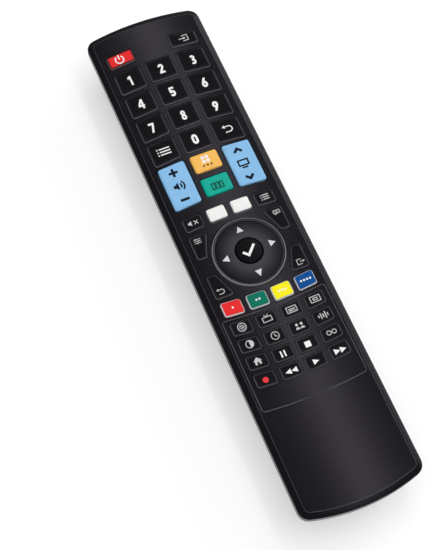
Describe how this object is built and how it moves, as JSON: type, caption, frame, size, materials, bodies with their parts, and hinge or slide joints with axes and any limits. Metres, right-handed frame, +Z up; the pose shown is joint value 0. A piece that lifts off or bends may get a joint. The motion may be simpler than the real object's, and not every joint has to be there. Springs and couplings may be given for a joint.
{
  "type": "universal remote control",
  "caption": "Slim black handheld remote with spring-back keys, tilting rockers, a domed direction ring and a battery door that slides off its boat-shaped back.",
  "frame": {"origin": "under the middle of the case, on the surface that the remote lies on", "axes": "+X to the right across the keys, +Y along the case to the infrared end, +Z up out of the face"},
  "size_m": [0.0486, 0.216, 0.0232],
  "materials": {
    "case_black": "satin",
    "key_red": "satin",
    "key_pale_blue": "satin",
    "key_orange": "satin",
    "key_teal": "satin",
    "key_white": "satin",
    "key_green": "satin",
    "key_yellow": "satin",
    "key_blue": "satin",
    "ring_grey": "satin",
    "silicone": "matt",
    "board_green": "satin",
    "component": "matt",
    "lamp_clear": "clear",
    "window_dark_red": "gloss",
    "contact_metal": "plated",
    "screw_metal": "plated",
    "cell": "printed sleeve",
    "key_black": "satin"
  },
  "bodies": {
    "case": {"front_cover": "case_black", "rear_cover": "case_black", "keypad_mat": "silicone", "circuit_board": "board_green", "board_components": "component", "ir_led": "lamp_clear", "ir_window": "window_dark_red", "battery_contacts": "contact_metal", "batteries": "cell", "case_screws": "screw_metal"},
    "volume_rocker": {"volume_rocker": "key_pale_blue"},
    "channel_rocker": {"channel_rocker": "key_pale_blue"},
    "ring_cushion": {"ring_cushion": "silicone"},
    "direction_ring": {"direction_ring": "ring_grey"},
    "battery_door": {"battery_door": "case_black"},
    "app_key_left": {"app_key_left": "key_white"},
    "app_key_right": {"app_key_right": "key_white"},
    "blue_key": {"blue_key": "key_blue"},
    "channel_list_key": {"channel_list_key": "key_black"},
    "content_key": {"content_key": "key_orange"},
    "dual_key": {"dual_key": "key_black"},
    "exit_key": {"exit_key": "key_black"},
    "family_key": {"family_key": "key_black"},
    "fast_forward_key": {"fast_forward_key": "key_black"},
    "green_key": {"green_key": "key_green"},
    "guide_key": {"guide_key": "key_black"},
    "history_key": {"history_key": "key_black"},
    "home_key": {"home_key": "key_black"},
    "info_key": {"info_key": "key_black"},
    "key_0": {"key_0": "key_black"},
    "key_1": {"key_1": "key_black"},
    "key_2": {"key_2": "key_black"},
    "key_3": {"key_3": "key_black"},
    "key_4": {"key_4": "key_black"},
    "key_5": {"key_5": "key_black"},
    "key_6": {"key_6": "key_black"},
    "key_7": {"key_7": "key_black"},
    "key_8": {"key_8": "key_black"},
    "key_9": {"key_9": "key_black"},
    "menu_key": {"menu_key": "key_teal"},
    "mute_key": {"mute_key": "key_black"},
    "ok_key": {"ok_key": "key_black"},
    "pause_key": {"pause_key": "key_black"},
    "picture_mode_key": {"picture_mode_key": "key_black"},
    "picture_size_key": {"picture_size_key": "key_black"},
    "play_key": {"play_key": "key_black"},
    "power_key": {"power_key": "key_red"},
    "previous_channel_key": {"previous_channel_key": "key_black"},
    "record_key": {"record_key": "key_black"},
    "red_key": {"red_key": "key_red"},
    "return_key": {"return_key": "key_black"},
    "rewind_key": {"rewind_key": "key_black"},
    "sound_mode_key": {"sound_mode_key": "key_black"},
    "source_key": {"source_key": "key_black"},
    "stop_key": {"stop_key": "key_black"},
    "subtitle_key": {"subtitle_key": "key_black"},
    "teletext_key": {"teletext_key": "key_black"},
    "tools_key": {"tools_key": "key_black"},
    "tv_radio_key": {"tv_radio_key": "key_black"},
    "yellow_key": {"yellow_key": "key_yellow"}
  },
  "joints": [
    {"name": "volume_rocker_tilt", "type": "hinge", "parent": "case", "child": "volume_rocker", "pos_m": [-0.0136, 0.03141, 0.01895], "axis": [1, 0, 0], "range_deg": [-3.5, 3.5], "stiffness_Nm_per_rad": 0.15},
    {"name": "channel_rocker_tilt", "type": "hinge", "parent": "case", "child": "channel_rocker", "pos_m": [0.0136, 0.03141, 0.01895], "axis": [1, 0, 0], "range_deg": [-3.5, 3.5], "stiffness_Nm_per_rad": 0.15},
    {"name": "ring_up_down", "type": "hinge", "parent": "case", "child": "ring_cushion", "pos_m": [0, -0.0042, 0.0176], "axis": [1, 0, 0], "range_deg": [-2.5, 2.5], "stiffness_Nm_per_rad": 0.3},
    {"name": "ring_left_right", "type": "hinge", "parent": "ring_cushion", "child": "direction_ring", "pos_m": [0, -0.0042, 0.0176], "axis": [0, 1, 0], "range_deg": [-2.5, 2.5], "stiffness_Nm_per_rad": 0.3},
    {"name": "battery_door_slide", "type": "slide", "parent": "case", "child": "battery_door", "axis": [0, -1, 0], "range_m": [0, 0.062]},
    {"name": "app_key_left_press", "type": "slide", "parent": "case", "child": "app_key_left", "axis": [0, 0, -1], "range_m": [0, 0.0008], "stiffness_N_per_m": 800, "springref_m": -0.0005},
    {"name": "app_key_right_press", "type": "slide", "parent": "case", "child": "app_key_right", "axis": [0, 0, -1], "range_m": [0, 0.0008], "stiffness_N_per_m": 800, "springref_m": -0.0005},
    {"name": "blue_key_press", "type": "slide", "parent": "case", "child": "blue_key", "axis": [0, 0, -1], "range_m": [0, 0.0008], "stiffness_N_per_m": 800, "springref_m": -0.0005},
    {"name": "channel_list_key_press", "type": "slide", "parent": "case", "child": "channel_list_key", "axis": [0, 0, -1], "range_m": [0, 0.0008], "stiffness_N_per_m": 800, "springref_m": -0.0005},
    {"name": "content_key_press", "type": "slide", "parent": "case", "child": "content_key", "axis": [0, 0, -1], "range_m": [0, 0.0008], "stiffness_N_per_m": 800, "springref_m": -0.0005},
    {"name": "dual_key_press", "type": "slide", "parent": "case", "child": "dual_key", "axis": [0, 0, -1], "range_m": [0, 0.0008], "stiffness_N_per_m": 800, "springref_m": -0.0005},
    {"name": "exit_key_press", "type": "slide", "parent": "case", "child": "exit_key", "axis": [0, 0, -1], "range_m": [0, 0.0008], "stiffness_N_per_m": 800, "springref_m": -0.0005},
    {"name": "family_key_press", "type": "slide", "parent": "case", "child": "family_key", "axis": [0, 0, -1], "range_m": [0, 0.0008], "stiffness_N_per_m": 800, "springref_m": -0.0005},
    {"name": "fast_forward_key_press", "type": "slide", "parent": "case", "child": "fast_forward_key", "axis": [0, 0, -1], "range_m": [0, 0.0008], "stiffness_N_per_m": 800, "springref_m": -0.0005},
    {"name": "green_key_press", "type": "slide", "parent": "case", "child": "green_key", "axis": [0, 0, -1], "range_m": [0, 0.0008], "stiffness_N_per_m": 800, "springref_m": -0.0005},
    {"name": "guide_key_press", "type": "slide", "parent": "case", "child": "guide_key", "axis": [0, 0, -1], "range_m": [0, 0.0008], "stiffness_N_per_m": 800, "springref_m": -0.0005},
    {"name": "history_key_press", "type": "slide", "parent": "case", "child": "history_key", "axis": [0, 0, -1], "range_m": [0, 0.0008], "stiffness_N_per_m": 800, "springref_m": -0.0005},
    {"name": "home_key_press", "type": "slide", "parent": "case", "child": "home_key", "axis": [0, 0, -1], "range_m": [0, 0.0008], "stiffness_N_per_m": 800, "springref_m": -0.0005},
    {"name": "info_key_press", "type": "slide", "parent": "case", "child": "info_key", "axis": [0, 0, -1], "range_m": [0, 0.0008], "stiffness_N_per_m": 800, "springref_m": -0.0005},
    {"name": "key_0_press", "type": "slide", "parent": "case", "child": "key_0", "axis": [0, 0, -1], "range_m": [0, 0.0008], "stiffness_N_per_m": 800, "springref_m": -0.0005},
    {"name": "key_1_press", "type": "slide", "parent": "case", "child": "key_1", "axis": [0, 0, -1], "range_m": [0, 0.0008], "stiffness_N_per_m": 800, "springref_m": -0.0005},
    {"name": "key_2_press", "type": "slide", "parent": "case", "child": "key_2", "axis": [0, 0, -1], "range_m": [0, 0.0008], "stiffness_N_per_m": 800, "springref_m": -0.0005},
    {"name": "key_3_press", "type": "slide", "parent": "case", "child": "key_3", "axis": [0, 0, -1], "range_m": [0, 0.0008], "stiffness_N_per_m": 800, "springref_m": -0.0005},
    {"name": "key_4_press", "type": "slide", "parent": "case", "child": "key_4", "axis": [0, 0, -1], "range_m": [0, 0.0008], "stiffness_N_per_m": 800, "springref_m": -0.0005},
    {"name": "key_5_press", "type": "slide", "parent": "case", "child": "key_5", "axis": [0, 0, -1], "range_m": [0, 0.0008], "stiffness_N_per_m": 800, "springref_m": -0.0005},
    {"name": "key_6_press", "type": "slide", "parent": "case", "child": "key_6", "axis": [0, 0, -1], "range_m": [0, 0.0008], "stiffness_N_per_m": 800, "springref_m": -0.0005},
    {"name": "key_7_press", "type": "slide", "parent": "case", "child": "key_7", "axis": [0, 0, -1], "range_m": [0, 0.0008], "stiffness_N_per_m": 800, "springref_m": -0.0005},
    {"name": "key_8_press", "type": "slide", "parent": "case", "child": "key_8", "axis": [0, 0, -1], "range_m": [0, 0.0008], "stiffness_N_per_m": 800, "springref_m": -0.0005},
    {"name": "key_9_press", "type": "slide", "parent": "case", "child": "key_9", "axis": [0, 0, -1], "range_m": [0, 0.0008], "stiffness_N_per_m": 800, "springref_m": -0.0005},
    {"name": "menu_key_press", "type": "slide", "parent": "case", "child": "menu_key", "axis": [0, 0, -1], "range_m": [0, 0.0008], "stiffness_N_per_m": 800, "springref_m": -0.0005},
    {"name": "mute_key_press", "type": "slide", "parent": "case", "child": "mute_key", "axis": [0, 0, -1], "range_m": [0, 0.0008], "stiffness_N_per_m": 800, "springref_m": -0.0005},
    {"name": "ok_key_press", "type": "slide", "parent": "case", "child": "ok_key", "axis": [0, 0, -1], "range_m": [0, 0.0008], "stiffness_N_per_m": 800, "springref_m": -0.0005},
    {"name": "pause_key_press", "type": "slide", "parent": "case", "child": "pause_key", "axis": [0, 0, -1], "range_m": [0, 0.0008], "stiffness_N_per_m": 800, "springref_m": -0.0005},
    {"name": "picture_mode_key_press", "type": "slide", "parent": "case", "child": "picture_mode_key", "axis": [0, 0, -1], "range_m": [0, 0.0008], "stiffness_N_per_m": 800, "springref_m": -0.0005},
    {"name": "picture_size_key_press", "type": "slide", "parent": "case", "child": "picture_size_key", "axis": [0, 0, -1], "range_m": [0, 0.0008], "stiffness_N_per_m": 800, "springref_m": -0.0005},
    {"name": "play_key_press", "type": "slide", "parent": "case", "child": "play_key", "axis": [0, 0, -1], "range_m": [0, 0.0008], "stiffness_N_per_m": 800, "springref_m": -0.0005},
    {"name": "power_key_press", "type": "slide", "parent": "case", "child": "power_key", "axis": [0, 0, -1], "range_m": [0, 0.0008], "stiffness_N_per_m": 800, "springref_m": -0.0005},
    {"name": "previous_channel_key_press", "type": "slide", "parent": "case", "child": "previous_channel_key", "axis": [0, 0, -1], "range_m": [0, 0.0008], "stiffness_N_per_m": 800, "springref_m": -0.0005},
    {"name": "record_key_press", "type": "slide", "parent": "case", "child": "record_key", "axis": [0, 0, -1], "range_m": [0, 0.0008], "stiffness_N_per_m": 800, "springref_m": -0.0005},
    {"name": "red_key_press", "type": "slide", "parent": "case", "child": "red_key", "axis": [0, 0, -1], "range_m": [0, 0.0008], "stiffness_N_per_m": 800, "springref_m": -0.0005},
    {"name": "return_key_press", "type": "slide", "parent": "case", "child": "return_key", "axis": [0, 0, -1], "range_m": [0, 0.0008], "stiffness_N_per_m": 800, "springref_m": -0.0005},
    {"name": "rewind_key_press", "type": "slide", "parent": "case", "child": "rewind_key", "axis": [0, 0, -1], "range_m": [0, 0.0008], "stiffness_N_per_m": 800, "springref_m": -0.0005},
    {"name": "sound_mode_key_press", "type": "slide", "parent": "case", "child": "sound_mode_key", "axis": [0, 0, -1], "range_m": [0, 0.0008], "stiffness_N_per_m": 800, "springref_m": -0.0005},
    {"name": "source_key_press", "type": "slide", "parent": "case", "child": "source_key", "axis": [0, 0, -1], "range_m": [0, 0.0008], "stiffness_N_per_m": 800, "springref_m": -0.0005},
    {"name": "stop_key_press", "type": "slide", "parent": "case", "child": "stop_key", "axis": [0, 0, -1], "range_m": [0, 0.0008], "stiffness_N_per_m": 800, "springref_m": -0.0005},
    {"name": "subtitle_key_press", "type": "slide", "parent": "case", "child": "subtitle_key", "axis": [0, 0, -1], "range_m": [0, 0.0008], "stiffness_N_per_m": 800, "springref_m": -0.0005},
    {"name": "teletext_key_press", "type": "slide", "parent": "case", "child": "teletext_key", "axis": [0, 0, -1], "range_m": [0, 0.0008], "stiffness_N_per_m": 800, "springref_m": -0.0005},
    {"name": "tools_key_press", "type": "slide", "parent": "case", "child": "tools_key", "axis": [0, 0, -1], "range_m": [0, 0.0008], "stiffness_N_per_m": 800, "springref_m": -0.0005},
    {"name": "tv_radio_key_press", "type": "slide", "parent": "case", "child": "tv_radio_key", "axis": [0, 0, -1], "range_m": [0, 0.0008], "stiffness_N_per_m": 800, "springref_m": -0.0005},
    {"name": "yellow_key_press", "type": "slide", "parent": "case", "child": "yellow_key", "axis": [0, 0, -1], "range_m": [0, 0.0008], "stiffness_N_per_m": 800, "springref_m": -0.0005}
  ]
}
